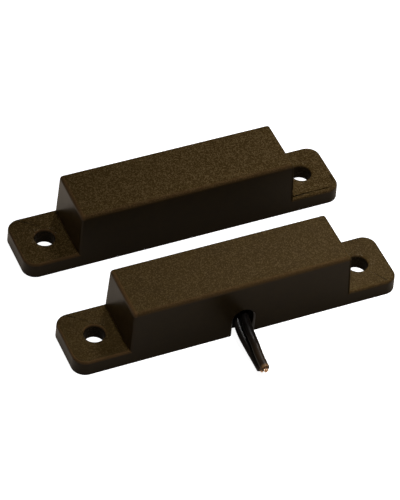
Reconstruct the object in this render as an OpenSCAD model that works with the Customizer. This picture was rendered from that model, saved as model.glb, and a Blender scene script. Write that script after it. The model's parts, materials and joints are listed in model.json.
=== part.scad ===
// Door contact sensor for surface mounting: a reed switch unit with two leads and a magnet unit
// of the same outline, laid side by side as they are fitted on a frame and a door.
// Millimetres. The origin is the middle of the switch unit's mounting face. X runs along the
// units, +Y points from the switch unit to the magnet unit, and +Z leaves the mounting surface.

/* [Housing] */
// Length of one unit over both ears
housing_length = 64; // [62:0.5:72]
// Width of one unit at its mounting face
housing_width = 12.7; // [12.4:0.1:15]
// Height of one unit above the mounting surface
housing_height = 12.3; // [11.5:0.1:15]
// Length of the raised block where it meets the ears
block_length = 43.6; // [43:0.1:46]
// Thickness of the ears
ear_thickness = 3.15; // [2:0.05:4]
// Radius of the ears' corners, seen from above
ear_corner_radius = 2.6; // [1:0.1:5]
// Lean of the block's two end walls, in degrees
end_draft = 3.3; // [0:0.1:4]
// Lean of the long side walls, in degrees
side_draft = 1.6; // [0:0.1:2.5]
// Thickness of the walls and the roof
wall = 1.4; // [1:0.1:1.6]
// Rounding of the outer edges
edge_radius = 0.35; // [0.2:0.05:0.6]

/* [Screw holes] */
// Distance between the two screw holes of a unit
screw_spacing = 52.4; // [51:0.2:56]
// Diameter of a screw hole
screw_hole_d = 3.9; // [3:0.1:4.6]

/* [Wire outlet] */
// Width of the arched slot in the front wall
outlet_width = 4.15; // [4:0.05:5]
// Height of the slot's arch above the mounting face
outlet_height = 5.75; // [5.6:0.05:7]
// Place of the slot's middle along the housing
outlet_x = 0.3; // [0.1:0.1:0.4]

/* [Reed switch] */
// Length of the glass capsule
glass_length = 20; // [18:0.5:21]
// Outer diameter of the glass capsule
glass_d = 2.7; // [2.4:0.1:2.8]
// Length of glass fused round each reed lead
seal_length = 3; // [2:0.1:3.5]
// Diameter of the round reed leads
reed_lead_d = 0.6; // [0.4:0.05:0.65]
// Width of the flattened reed blades
blade_width = 1.2; // [0.8:0.1:1.3]
// Thickness of the flattened reed blades
blade_thickness = 0.25; // [0.15:0.01:0.28]
// Gap between the blades while the contact is open
contact_gap = 0.06; // [0.06:0.01:0.1]
// Length over which the two blades overlap
contact_overlap = 1.2; // [0.6:0.1:1.4]

/* [Leads] */
// Outer diameter of a lead's jacket
lead_d = 1.6; // [1:0.05:1.6]
// Diameter of the stranded copper core
core_d = 0.6; // [0.4:0.05:0.7]

/* [Magnet] */
// Length of the bar magnet
magnet_length = 31.8; // [20:0.2:38]
// Width and height of the bar magnet
magnet_side = 6.4; // [4:0.1:7]

/* [Pair] */
// Distance between the middles of the two units
unit_pitch = 25.4; // [17:0.1:60]

/* [Hidden] */

left = -1;
right = 1;

// Colours of the pieces
housing_brown = [0.25, 0.2, 0.12];
potting_black = [0.09, 0.08, 0.07];
glass_green = [0.72, 0.82, 0.74];
nickel_iron = [0.7, 0.69, 0.66];
solder_grey = [0.6, 0.61, 0.62];
sleeve_black = [0.1, 0.1, 0.11];
jacket_black = [0.08, 0.07, 0.06];
jacket_brown = [0.22, 0.15, 0.09];
copper = [0.78, 0.5, 0.32];
magnet_grey = [0.45, 0.45, 0.46];

// Smallest thickness of a disc that only shapes a hull, and how far a cut runs past a face
sliver = 0.01;
past = 1;
// Facets of the round hull members and of the true round faces
hull_facets = 32;
round_facets = 48;
// Gap round a piece that is cast into the potting
cast_gap = 0.03;
// How far the potting stays inside the mounting face
potting_recess = 0.4;
// Radius of the cavity's upright inner corners
cavity_radius = 0.6;

// The reed switch lies along X behind the outlet, at a fixed distance from the front wall
front_y = -housing_width / 2;
reed_y = front_y + 7.4;
reed_z = 6.4;

// Inside of the glass: the bore narrows to the seals over this length
glass_bore_d = glass_d - 0.6;
bore_taper = 0.6;
glass_end_radius = 0.6;
blade_root_x = glass_length / 2 - seal_length - 0.5;
blade_root_gap = 0.12;
blade_offset = (blade_thickness + contact_gap) / 2;

// Each lead's core lies under its reed lead, in a barrel of solder inside a shrunk sleeve
core_drop = 1.1;
joint_z = reed_z - core_drop / 2;
reed_lead_end_x = 19;
core_end_x = 18.8;
solder_x = [16.2, 18.6];
solder_r = 0.95;
solder_edge_r = 0.15;
sleeve_x = [15.1, 19.3];
sleeve_inner_r = 1.4;
sleeve_wall = 0.25;

// Routes of the leads, measured from the middle of the outlet's mouth at the mounting face.
// The first point is the end of the jacket at the joint, the last the bare tip outside.
black_route = [
    [-15.8, 7.4, 5.3], [-13.3, 7.5, 5.1], [-10.9, 7.8, 4.4], [-8.4, 8.2, 3.85], [-5.9, 7.9, 3.7],
    [-3.9, 6.6, 3.75], [-2.14, 4.62, 3.8], [-1.15, 2.5, 3.63], [-1.04, 0.73, 3.25],
    [-1.13, -0.8, 2.58], [-1.12, -2.42, 2.08], [-0.98, -4.11, 1.65], [-0.85, -5.9, 1.33], [-0.72, -7.7, 1.05],
    [-0.65, -9.7, 0.87], [-0.64, -10.35, 0.85]
];
brown_route = [
    [15.2, 7.4, 5.3], [12.7, 7.5, 5.1], [10.3, 7.8, 4.4], [7.8, 8.2, 3.85], [5.3, 7.9, 3.6],
    [3.5, 6.6, 3.5], [2, 4.32, 3.72], [0.78, 1.81, 4.12], [0.07, -0.35, 4.21], [-0.21, -2.46, 4.02],
    [-0.29, -4.18, 3.65], [-0.31, -5.75, 3.26], [-0.51, -7.5, 3.1], [-0.62, -9.3, 2.88],
    [-0.66, -11.35, 2.66], [-0.68, -11.95, 2.6]
];
// Sides of a lead's tube, and the clearance of the core in its jacket
lead_sides = 8;
core_clearance = 0.04;

// Chamfer along the magnet's long edges
magnet_chamfer = 0.3;

// Half the block's length and half a unit's width, at a height above the mounting face
function half_length(z) = block_length / 2 - (z - ear_thickness) * tan(end_draft);
function half_width(z) = housing_width / 2 - z * tan(side_draft);

// Helpers for a tube swept along points: directions along it, and normals carried from ring to ring
function unit(v) = v / norm(v);
function directions(p) = [
    for (i = [0 : len(p) - 1]) unit(p[min(i + 1, len(p) - 1)] - p[max(i - 1, 0)])
];
function carried_normals(d, n = [0, 0, 1], i = 0) =
    i == len(d) ? [] : let (m = unit(n - (n * d[i]) * d[i])) concat([m], carried_normals(d, m, i + 1));
function rings(p, r) = let (d = directions(p), n = carried_normals(d)) [
    for (i = [0 : len(p) - 1])
        for (k = [0 : lead_sides - 1])
            let (a = 360 * k / lead_sides) p[i] + r * (cos(a) * n[i] + sin(a) * cross(d[i], n[i]))
];
// Triangles of a swept wall whose rings start at a vertex number, seen from outside or inside
function wall_faces(count, start, inside = false) = [
    for (i = [0 : count - 2])
        for (k = [0 : lead_sides - 1])
            let (
                next = (k + 1) % lead_sides,
                a = start + i * lead_sides + k, b = start + (i + 1) * lead_sides + k,
                c = start + (i + 1) * lead_sides + next, d = start + i * lead_sides + next
            )
            each inside ? [[a, c, b], [a, d, c]] : [[a, b, c], [a, c, d]]
];
// Triangles of the flat ring that closes a hollow tube at one end
function rim_faces(outer, inner, flip) = [
    for (k = [0 : lead_sides - 1])
        let (next = (k + 1) % lead_sides)
        each flip
            ? [[outer + k, inner + k, inner + next], [outer + k, inner + next, outer + next]]
            : [[outer + k, inner + next, inner + k], [outer + k, outer + next, inner + next]]
];

// Tube along points, solid unless it is given a bore
module swept_tube(points, d, bore = 0) {
    count = len(points);
    last = (count - 1) * lead_sides;
    if (bore == 0)
        polyhedron(rings(points, d / 2), concat(
            wall_faces(count, 0),
            [[for (k = [0 : lead_sides - 1]) k]],
            [[for (k = [lead_sides - 1 : -1 : 0]) last + k]]
        ));
    else
        polyhedron(concat(rings(points, d / 2), rings(points, bore / 2)), concat(
            wall_faces(count, 0),
            wall_faces(count, count * lead_sides, true),
            rim_faces(0, count * lead_sides, false),
            rim_faces(last, count * lead_sides + last, true)
        ));
}

// Points of a lead in the part's frame: its jacket stops one point short of the bare tip
function placed(route) = [for (p = route) p + [outlet_x, front_y, 0]];
function jacket_points(route) = [for (i = [0 : len(route) - 2]) placed(route)[i]];
function core_points(route, side) =
    concat([[side * core_end_x, reed_y, reed_z - core_drop]], placed(route));

// Cylinder along X between two distances from the middle, on one side of the reed switch
module along_x(side, from, to, r, z) {
    translate([side > 0 ? from : -to, reed_y, z])
        rotate([0, 90, 0])
            cylinder(r = r, h = to - from, $fn = round_facets);
}

// Raised block with leaning walls and rounded upper edges
module block() {
    r = edge_radius;
    top = housing_height - r;
    hull()
        for (sx = [left, right], sy = [-1, 1]) {
            translate([sx * (half_length(0) - r), sy * (half_width(0) - r), 0])
                cylinder(r = r, h = sliver, $fn = hull_facets);
            translate([sx * (half_length(top) - r), sy * (half_width(top) - r), top])
                sphere(r = r, $fn = hull_facets);
        }
}

// Base plate that ends in the two ears, with a rounded upper rim
module ear_plate() {
    rim = [for (a = [0 : 30 : 90]) [edge_radius * (1 - cos(a)), edge_radius * (1 - sin(a))]];
    hull()
        for (sx = [left, right], sy = [-1, 1])
            translate([
                sx * (housing_length / 2 - ear_corner_radius),
                sy * (housing_width / 2 - ear_corner_radius), 0
            ]) {
                cylinder(r = ear_corner_radius, h = sliver, $fn = hull_facets);
                for (step = rim)
                    translate([0, 0, ear_thickness - step.y - sliver])
                        cylinder(
                            r = ear_corner_radius - ear_thickness * tan(side_draft) - step.x,
                            h = sliver, $fn = hull_facets
                        );
            }
}

// Hollow inside the block, open at the mounting face
module cavity() {
    roof = housing_height - wall;
    hull()
        for (sx = [left, right], sy = [-1, 1], z = [-past, roof - sliver])
            translate([
                sx * (half_length(z) - wall - cavity_radius),
                sy * (half_width(z) - wall - cavity_radius), z
            ])
                cylinder(r = cavity_radius, h = sliver, $fn = hull_facets);
}

// Casing of one unit: block and ears in one moulding, with its screw holes
module unit_housing() {
    difference() {
        union() {
            block();
            ear_plate();
        }
        cavity();
        for (sx = [left, right])
            translate([sx * screw_spacing / 2, 0, -past])
                cylinder(d = screw_hole_d, h = ear_thickness + 2 * past, $fn = round_facets);
    }
}

// Arched slot through the front wall that lets the leads out
module outlet() {
    arch_z = outlet_height - outlet_width / 2;
    depth = past + wall + housing_width / 2 - half_width(outlet_height);
    translate([outlet_x, front_y - past, 0]) {
        translate([-outlet_width / 2, 0, -past])
            cube([outlet_width, depth, arch_z + past]);
        translate([0, depth, arch_z])
            rotate([90, 0, 0])
                cylinder(d = outlet_width, h = depth, $fn = round_facets);
    }
}

// Compound that fills a unit's hollow up to a small step inside the mounting face
module potting_fill() {
    intersection() {
        cavity();
        translate([-housing_length / 2, -housing_width / 2, potting_recess])
            cube([housing_length, housing_width, housing_height]);
    }
}

// Solid of revolution along X about the reed switch's middle, with rounded end edges
module rounded_bar(half, r, edge) {
    rotate([0, 90, 0])
        rotate_extrude($fn = round_facets)
            polygon(concat(
                [[0, half], [0, -half]],
                [for (a = [-90 : 30 : 0]) [r - edge + edge * cos(a), edge - half + edge * sin(a)]],
                [for (a = [0 : 30 : 90]) [r - edge + edge * cos(a), half - edge + edge * sin(a)]]
            ));
}

// Space of the glass capsule, bore and all
module glass_envelope(grow = 0) {
    translate([0, reed_y, reed_z])
        rounded_bar(glass_length / 2 + grow, glass_d / 2 + grow, glass_end_radius);
}

module switch_housing() {
    color(housing_brown)
        difference() {
            unit_housing();
            outlet();
        }
}

module switch_potting() {
    color(potting_black)
        difference() {
            potting_fill();
            glass_envelope(cast_gap);
            for (side = [left, right]) {
                along_x(
                    side, blade_root_x, reed_lead_end_x + cast_gap,
                    reed_lead_d / 2 + cast_gap, reed_z
                );
                along_x(
                    side, sleeve_x[0] - cast_gap, sleeve_x[1] + cast_gap,
                    sleeve_inner_r + sleeve_wall + cast_gap, joint_z
                );
            }
            for (route = [black_route, brown_route])
                swept_tube(jacket_points(route), lead_d + 2 * cast_gap);
        }
}

module reed_glass() {
    inner = glass_length / 2 - seal_length;
    color(glass_green)
        difference() {
            glass_envelope();
            translate([0, reed_y, reed_z])
                rotate([0, 90, 0])
                    rotate_extrude($fn = round_facets)
                        polygon([
                            [0, inner], [0, -inner], [reed_lead_d / 2, -inner],
                            [glass_bore_d / 2, bore_taper - inner],
                            [glass_bore_d / 2, inner - bore_taper], [reed_lead_d / 2, inner]
                        ]);
            for (side = [left, right])
                along_x(side, blade_root_x, glass_length, reed_lead_d / 2, reed_z);
        }
}

// Round nickel-iron lead from the blade's root, through the seal, to the solder joint
module reed_lead(side) {
    color(nickel_iron)
        along_x(
            side, blade_root_x + blade_thickness / 2 + blade_root_gap, reed_lead_end_x,
            reed_lead_d / 2, reed_z
        );
}

module left_reed_lead() { reed_lead(left); }
module right_reed_lead() { reed_lead(right); }

// Flat blade on edge, with a round root on its upright bending axis: the left one lies in front
module reed_blade(side) {
    reach = blade_root_x + contact_overlap / 2;
    color(nickel_iron)
        translate([side * blade_root_x, reed_y + side * blade_offset, reed_z]) {
            cylinder(d = blade_thickness, h = blade_width, center = true, $fn = round_facets);
            translate([side > 0 ? -reach : 0, -blade_thickness / 2, -blade_width / 2])
                cube([reach, blade_thickness, blade_width]);
        }
}

module left_reed_blade() { reed_blade(left); }
module right_reed_blade() { reed_blade(right); }

// Barrel of solder round the end of a reed lead and the end of a core
module solder_joint(side) {
    half = (solder_x[1] - solder_x[0]) / 2;
    color(solder_grey)
        difference() {
            translate([side * (solder_x[0] + half), reed_y, joint_z])
                rounded_bar(half, solder_r, solder_edge_r);
            along_x(side, sleeve_x[0], reed_lead_end_x, reed_lead_d / 2, reed_z);
            along_x(side, sleeve_x[0], core_end_x, core_d / 2, reed_z - core_drop);
        }
}

module left_solder_joint() { solder_joint(left); }
module right_solder_joint() { solder_joint(right); }

// Shrunk sleeve that insulates a solder joint
module joint_sleeve(side) {
    color(sleeve_black)
        difference() {
            along_x(side, sleeve_x[0], sleeve_x[1], sleeve_inner_r + sleeve_wall, joint_z);
            along_x(side, sleeve_x[0] - past, sleeve_x[1] + past, sleeve_inner_r, joint_z);
        }
}

module left_joint_sleeve() { joint_sleeve(left); }
module right_joint_sleeve() { joint_sleeve(right); }

module lead_jacket(route) { swept_tube(jacket_points(route), lead_d, core_d + core_clearance); }

module black_lead_jacket() { color(jacket_black) lead_jacket(black_route); }
module brown_lead_jacket() { color(jacket_brown) lead_jacket(brown_route); }
module black_lead_core() { color(copper) swept_tube(core_points(black_route, left), core_d); }
module brown_lead_core() { color(copper) swept_tube(core_points(brown_route, right), core_d); }

module magnet_housing() {
    color(housing_brown)
        translate([0, unit_pitch, 0])
            unit_housing();
}

// Space of the bar magnet, which lies against the inside of the roof
module magnet_bar(grow = 0) {
    h = magnet_side / 2 + grow;
    c = magnet_chamfer;
    translate([0, unit_pitch, housing_height - wall - magnet_side / 2 - cast_gap])
        rotate([90, 0, 90])
            linear_extrude(height = magnet_length + 2 * grow, center = true)
                polygon([
                    [h - c, -h], [h, c - h], [h, h - c], [h - c, h],
                    [c - h, h], [-h, h - c], [-h, c - h], [c - h, -h]
                ]);
}

module bar_magnet() { color(magnet_grey) magnet_bar(); }

module magnet_potting() {
    color(potting_black)
        difference() {
            translate([0, unit_pitch, 0])
                potting_fill();
            magnet_bar(cast_gap);
        }
}

switch_housing();
switch_potting();
reed_glass();
left_reed_lead();
right_reed_lead();
left_reed_blade();
right_reed_blade();
left_solder_joint();
right_solder_joint();
left_joint_sleeve();
right_joint_sleeve();
black_lead_jacket();
black_lead_core();
brown_lead_jacket();
brown_lead_core();
magnet_housing();
bar_magnet();
magnet_potting();
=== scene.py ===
"""Looks of a door contact sensor: a reed switch unit with two leads, and a magnet unit.

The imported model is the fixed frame. The housings, the leads' jackets and their copper strands are
modelled here. The pieces inside the units keep their solids and get their finishes.
"""

from __future__ import annotations

import json
import logging
import math
from collections.abc import Iterable, Sequence
from dataclasses import dataclass, field, replace
from enum import Enum
from functools import cache
from typing import Any

import bmesh
import bpy
from mathutils import Matrix, Vector


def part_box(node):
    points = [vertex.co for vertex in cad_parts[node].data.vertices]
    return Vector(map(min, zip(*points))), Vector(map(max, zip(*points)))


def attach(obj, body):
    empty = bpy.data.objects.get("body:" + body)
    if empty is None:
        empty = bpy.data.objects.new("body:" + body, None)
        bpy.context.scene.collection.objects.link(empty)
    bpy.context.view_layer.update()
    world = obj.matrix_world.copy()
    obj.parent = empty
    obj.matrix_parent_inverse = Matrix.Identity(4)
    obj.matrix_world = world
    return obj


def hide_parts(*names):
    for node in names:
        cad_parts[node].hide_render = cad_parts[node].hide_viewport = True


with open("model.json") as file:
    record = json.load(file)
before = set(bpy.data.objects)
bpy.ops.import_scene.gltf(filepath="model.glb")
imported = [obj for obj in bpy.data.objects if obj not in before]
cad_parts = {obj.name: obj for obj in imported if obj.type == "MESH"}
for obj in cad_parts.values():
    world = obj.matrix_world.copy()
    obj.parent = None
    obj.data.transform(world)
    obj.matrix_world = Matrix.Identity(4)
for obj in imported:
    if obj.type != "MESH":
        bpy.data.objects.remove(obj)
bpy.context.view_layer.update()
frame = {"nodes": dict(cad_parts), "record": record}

LOG = logging.getLogger("door_contact")

# Shapes are worked out in millimetres and scaled to metres at the end
MM = 0.001

# A normal with more than SQUARE along an axis faces along it, and one with less than ASKEW does not
SQUARE, ASKEW = 0.9, 0.5

Colour = tuple[float, float, float, float]
Point = tuple[float, float, float]
Range = tuple[float, float]
Socket = bpy.types.NodeSocket
Piece = bpy.types.Object
Shape = bmesh.types.BMesh
Face = bmesh.types.BMFace


def mount(name: str) -> dict[str, Any]:
    """Returns one of the record's mounts."""
    return next(entry for entry in frame["record"]["mounts"] if entry["name"] == name)


def share(value: float, start: float, end: float) -> float:
    """Says how far a value has come from start to end, held between 0 and 1."""
    return min(1.0, max(0.0, (value - start) / (end - start)))


class Slot(Enum):
    """The record's material slots. The leads carry one, which nothing reads."""

    HOUSING = "housing_plastic"
    BLACK_JACKET = "black_jacket"
    BROWN_JACKET = "brown_jacket"
    COPPER = "copper"


class Body(Enum):
    """Bodies that new pieces ride on."""

    SWITCH = "switch"
    MAGNET_UNIT = "magnet_unit"


class FaceKind(Enum):
    """Where a face of a housing lies."""

    TOP = "top of the block"
    EAR = "top of an ear"
    SIDE = "outer side wall"
    END = "end wall of the block"
    UNDERSIDE = "mounting face"
    HOLE = "wall of a screw hole"
    OUTLET = "wall of the wire outlet"
    INSIDE = "wall of the hollow"
    SEAM = "wall of the seam in an ear's top"


def linear(red: int, green: int, blue: int) -> Colour:
    """Turns a display colour, with levels from 0 to 255, into the linear values that shaders take."""
    levels = [level / 255 for level in (red, green, blue)]
    return (*(c / 12.92 if c <= 0.04045 else ((c + 0.055) / 1.055) ** 2.4 for c in levels), 1.0)


def grey(level: float) -> Colour:
    """Returns a grey of a linear level."""
    return (level, level, level, 1.0)


class NodeGraph:
    """Adds nodes to a shader tree and links them."""

    def __init__(self, tree: bpy.types.NodeTree) -> None:
        """Empties the tree and works on it."""
        tree.nodes.clear()
        self.tree = tree

    def add(self, kind: str, inputs: dict[str | int, Any] | None = None, **settings: Any) -> bpy.types.Node:
        """Adds a node.

        Args:
            kind: Blender's name of the node type.
            inputs: A socket to link, or a value to set, for each input's name or number.
            **settings: Properties of the node itself.

        Returns:
            The new node.
        """
        node = self.tree.nodes.new(kind)
        for name, value in settings.items():
            setattr(node, name, value)
        for key, value in (inputs or {}).items():
            if isinstance(value, Socket):
                self.tree.links.new(value, node.inputs[key])
            else:
                node.inputs[key].default_value = value
        return node

    def coordinates(self, scale: Sequence[float] | None = None) -> Socket:
        """Reads the piece's own coordinates in metres.

        Args:
            scale: A stretch along X, Y and Z, or None for the plain coordinates.

        Returns:
            The vector's socket.
        """
        plain = self.add("ShaderNodeTexCoord").outputs["Object"]
        if scale is None:
            return plain
        stretched = self.add("ShaderNodeMapping", {"Vector": plain, "Scale": scale})
        return stretched.outputs["Vector"]

    def attribute(self, name: str) -> Socket:
        """Reads a number that the mesh carries."""
        return self.add("ShaderNodeAttribute", attribute_name=name).outputs["Fac"]

    def math(self, operation: str, first: Any, second: Any = 0.0) -> Socket:
        """Works out one number from one or two."""
        return self.add("ShaderNodeMath", {0: first, 1: second}, operation=operation).outputs[0]

    def noise(self, place: Socket, scale: Any, detail: float, roughness: float = 0.5) -> Socket:
        """Adds a cloudy noise from 0 to 1."""
        inputs = {"Vector": place, "Scale": scale, "Detail": detail, "Roughness": roughness}
        return self.add("ShaderNodeTexNoise", inputs).outputs["Fac"]

    def ramp(self, value: Any, start: float, end: float, low: float = 0.0, high: float = 1.0) -> Socket:
        """Takes a number from low at start to high at end, with soft ends."""
        inputs = {"Value": value, "From Min": start, "From Max": end, "To Min": low, "To Max": high}
        return self.add("ShaderNodeMapRange", inputs, interpolation_type="SMOOTHSTEP").outputs["Result"]

    def between(self, mask: Any, low: float, high: float) -> Socket:
        """Turns a mask into a value between two others."""
        return self.ramp(mask, 0.0, 1.0, low, high)

    def mix_value(self, factor: Any, first: Any, second: Any) -> Socket:
        """Mixes two numbers."""
        return self.add("ShaderNodeMix", {0: factor, 2: first, 3: second}).outputs[0]

    def mix_colour(self, factor: Any, first: Any, second: Any) -> Socket:
        """Mixes two colours."""
        inputs = {0: factor, 6: first, 7: second}
        return self.add("ShaderNodeMix", inputs, data_type="RGBA").outputs[2]

    def bump(self, height: Any, depth: float, normal: Any = None) -> Socket:
        """Tilts the surface by a height.

        Args:
            height: The height, from 0 to 1.
            depth: What a height of 1 measures, in metres.
            normal: An earlier bump to add to, or None.

        Returns:
            The normal's socket.
        """
        inputs = {"Height": height, "Distance": depth, "Strength": 1.0}
        if normal is not None:
            inputs["Normal"] = normal
        return self.add("ShaderNodeBump", inputs).outputs["Normal"]

    def effect(self, effect: Effect, **inputs: Any) -> bpy.types.Node:
        """Places a shared effect, with its inputs given by name."""
        named = {name.capitalize(): value for name, value in inputs.items()}
        return self.add("ShaderNodeGroup", named, node_tree=effect.tree())

    def tones(self, scale: float, first: Colour, second: Colour) -> tuple[Socket, Socket]:
        """Clouds two colours into each other, and returns the colour and the cloud."""
        made = self.effect(
            Effect.MOTTLE, vector=self.coordinates(), scale=scale, first=first, second=second
        )
        return made.outputs["Colour"], made.outputs["Height"]


class Effect(Enum):
    """Surface effects that several finishes share, each built once as a node group."""

    SPARK_GRAIN = "spark_grain"
    MOTTLE = "mottle"
    DRAWN_LINES = "drawn_lines"

    @cache
    def tree(self) -> bpy.types.NodeTree:
        """Returns the effect's node group, building it the first time."""
        tree = bpy.data.node_groups.new(self.value, "ShaderNodeTree")
        plain = {"Vector": "Vector", "Scale": "Float"}
        coloured = {**plain, "First": "Color", "Second": "Color"}
        fill, inputs, outputs = {
            Effect.SPARK_GRAIN: (self._spark_grain, plain, {"Height": "Float", "Facet": "Float"}),
            Effect.MOTTLE: (self._mottle, coloured, {"Height": "Float", "Colour": "Color"}),
            Effect.DRAWN_LINES: (self._drawn_lines, plain, {"Height": "Float"}),
        }[self]
        for in_out, named in (("INPUT", inputs), ("OUTPUT", outputs)):
            for name, kind in named.items():
                tree.interface.new_socket(name=name, in_out=in_out, socket_type="NodeSocket" + kind)
        graph = NodeGraph(tree)
        given = graph.add("NodeGroupInput").outputs
        graph.add("NodeGroupOutput", fill(graph, {name: given[name] for name in inputs}))
        return tree

    @staticmethod
    def _spark_grain(graph: NodeGraph, given: dict[str, Socket]) -> dict[str, Socket]:
        """Builds a spark-eroded mould's grain: a height, and a mask of bright facets in it, which a finish
        may colour as painted glints.
        """
        place, scale = given["Vector"], given["Scale"]
        fine_scale, facet_scale = (graph.math("MULTIPLY", scale, ratio) for ratio in (0.7, 0.9))
        craters = graph.add(
            "ShaderNodeTexVoronoi", {"Vector": place, "Scale": scale, "Smoothness": 0.6},
            feature="SMOOTH_F1",
        )
        fine = graph.noise(place, fine_scale, detail=3.0, roughness=0.65)
        facets = graph.add("ShaderNodeTexVoronoi", {"Vector": place, "Scale": facet_scale})
        chosen = graph.add("ShaderNodeSeparateColor", {"Color": facets.outputs["Color"]})
        bright = graph.ramp(chosen.outputs["Red"], start=0.4, end=1.0)
        return {
            "Height": graph.mix_value(factor=0.6, first=craters.outputs["Distance"], second=fine),
            "Facet": graph.mix_value(factor=0.3, first=bright, second=fine),
        }

    @staticmethod
    def _mottle(graph: NodeGraph, given: dict[str, Socket]) -> dict[str, Socket]:
        """Builds a cloudy change between two colours, with the cloud as its height."""
        cloud = graph.ramp(graph.noise(given["Vector"], given["Scale"], detail=4.0), start=0.3, end=0.7)
        return {"Height": cloud, "Colour": graph.mix_colour(cloud, given["First"], given["Second"])}

    @staticmethod
    def _drawn_lines(graph: NodeGraph, given: dict[str, Socket]) -> dict[str, Socket]:
        """Builds fine lines that drawing or extruding leaves along a stretched vector."""
        return {"Height": graph.noise(given["Vector"], given["Scale"], detail=2.0, roughness=0.7)}


@dataclass(frozen=True)
class Finish:
    """A procedural finish. A subclass says what feeds the shader."""

    name: str

    def inputs(self, graph: NodeGraph) -> dict[str, Any]:
        """Builds the finish's nodes and returns what each shader input takes."""
        raise NotImplementedError

    @cache
    def material(self) -> bpy.types.Material:
        """Returns the finish as a material, building it the first time."""
        made = bpy.data.materials.new(self.name)
        made.use_nodes = True
        graph = NodeGraph(made.node_tree)
        shader = graph.add("ShaderNodeBsdfPrincipled", self.inputs(graph))
        graph.add("ShaderNodeOutputMaterial", {"Surface": shader.outputs["BSDF"]})
        return made


@dataclass(frozen=True)
class MouldedPlastic(Finish):
    """Brown moulded plastic: spark-eroded grain where the mesh says so, satin elsewhere."""

    first: Colour = linear(61, 48, 25)
    second: Colour = linear(57, 45, 26)
    pit: Colour = linear(47, 33, 4)
    # Colour of the grain's bright facets: grain tone brightened into painted glints of light.
    glint_facet: Colour = linear(103, 84, 54)
    scuff: Colour = linear(150, 136, 112)
    # Colour of rounded rims that face front and left: a painted highlight.
    rim_highlight: Colour = linear(104, 78, 50)
    tone_scale: float = 420.0
    tone_share: float = 0.1
    grain_scale: float = 6500.0
    grain_depth: float = 3.5e-5
    grain_roughness: Range = (0.55, 0.35)
    wall_scale: float = 13000.0
    wall_depth: float = 3.5e-7
    wall_roughness: Range = (0.37, 0.43)
    specular: float = 0.005
    gloss_roughness: float = 0.27
    gloss_index: float = 1.2
    scuff_reach: Range = (3.6 * MM, 2.6 * MM)
    fleck_scale: float = 3500.0
    fleck_edge: Range = (0.6, 0.68)
    patch_edge: Range = (0.52, 0.6)

    def scuffs(self, graph: NodeGraph, place: Socket) -> Socket:
        """Finds the flecks that screws left round the holes.

        Args:
            graph: The material's graph.
            place: The piece's own coordinates.

        Returns:
            A mask's socket.
        """
        switch, magnet = mount("switch_screw_holes"), mount("magnet_screw_holes")
        hole_x = switch["dims"]["spacing_x_mm"] / 2 * MM
        half_pitch = (magnet["pos_m"][1] - switch["pos_m"][1]) / 2
        axes = graph.add("ShaderNodeSeparateXYZ", {"Vector": place}).outputs
        along = graph.math("SUBTRACT", graph.math("ABSOLUTE", axes["X"]), hole_x)
        across = graph.math("PINGPONG", axes["Y"], half_pitch)
        reach = graph.math("SQRT", graph.math(
            "ADD", graph.math("MULTIPLY", along, along), graph.math("MULTIPLY", across, across)
        ))
        near = graph.ramp(reach, *self.scuff_reach)
        flecks = graph.ramp(graph.noise(place, self.fleck_scale, detail=2.0), *self.fleck_edge)
        patches = graph.ramp(graph.noise(place, self.tone_scale, detail=1.0), *self.patch_edge)
        return graph.math("MULTIPLY", near, graph.math("MULTIPLY", flecks, patches))

    def inputs(self, graph: NodeGraph) -> dict[str, Any]:
        """Builds the plastic's nodes."""
        place = graph.coordinates()
        grained = graph.attribute(UnitHousing.GRAIN)
        colour, cloud = graph.tones(self.tone_scale, self.first, self.second)
        grain = graph.effect(Effect.SPARK_GRAIN, vector=place, scale=self.grain_scale)
        # Dark pits and painted glints of the grain.
        pits_and_glints = graph.mix_colour(grain.outputs["Facet"], self.pit, self.glint_facet)
        satin = graph.effect(Effect.SPARK_GRAIN, vector=place, scale=self.wall_scale)
        waves = graph.bump(satin.outputs["Height"], self.wall_depth)
        pits = graph.math("MULTIPLY", grain.outputs["Height"], grained)
        smooth = graph.between(cloud, *self.wall_roughness)
        rough = graph.between(grain.outputs["Facet"], *self.grain_roughness)
        grainy = graph.mix_colour(self.tone_share, pits_and_glints, colour)
        moulded = graph.mix_colour(grained, colour, grainy)
        scuffed = graph.math("MULTIPLY", self.scuffs(graph, place), grained)
        worn = graph.mix_colour(scuffed, moulded, self.scuff)
        return {
            # Rims that face front and left take the painted highlight colour.
            "Base Color": graph.mix_colour(graph.attribute(UnitHousing.RIM_HIGHLIGHT), worn, self.rim_highlight),
            "Roughness": graph.mix_value(grained, smooth, rough),
            "Specular IOR Level": self.specular,
            "Coat Weight": graph.attribute(UnitHousing.SATIN),
            "Coat Roughness": self.gloss_roughness,
            "Coat IOR": self.gloss_index,
            "Normal": graph.bump(pits, self.grain_depth, normal=waves),
        }


@dataclass(frozen=True)
class ReliefFinish(Finish):
    """Two clouded tones under a fine relief, for what is cast, drawn, extruded or shrunk.

    The cloud moves the roughness too, or the relief does where its span is given. The plain inputs are
    the same all over.
    """

    first: Colour
    second: Colour
    tone_scale: float
    roughness: Range
    relief: Effect
    relief_scale: float
    relief_depth: float
    stretch: Point | None = None
    rough_span: Range | None = None
    plain: tuple[tuple[str, float], ...] = ()

    def inputs(self, graph: NodeGraph) -> dict[str, Any]:
        """Builds the finish's nodes."""
        colour, cloud = graph.tones(self.tone_scale, self.first, self.second)
        place = graph.coordinates(self.stretch)
        height = graph.effect(self.relief, vector=place, scale=self.relief_scale).outputs["Height"]
        if self.rough_span is None:
            rough = graph.between(cloud, *self.roughness)
        else:
            rough = graph.ramp(height, *self.rough_span, *self.roughness)
        return {
            "Base Color": colour,
            "Roughness": rough,
            "Normal": graph.bump(height, self.relief_depth),
            **dict(self.plain),
        }


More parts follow.
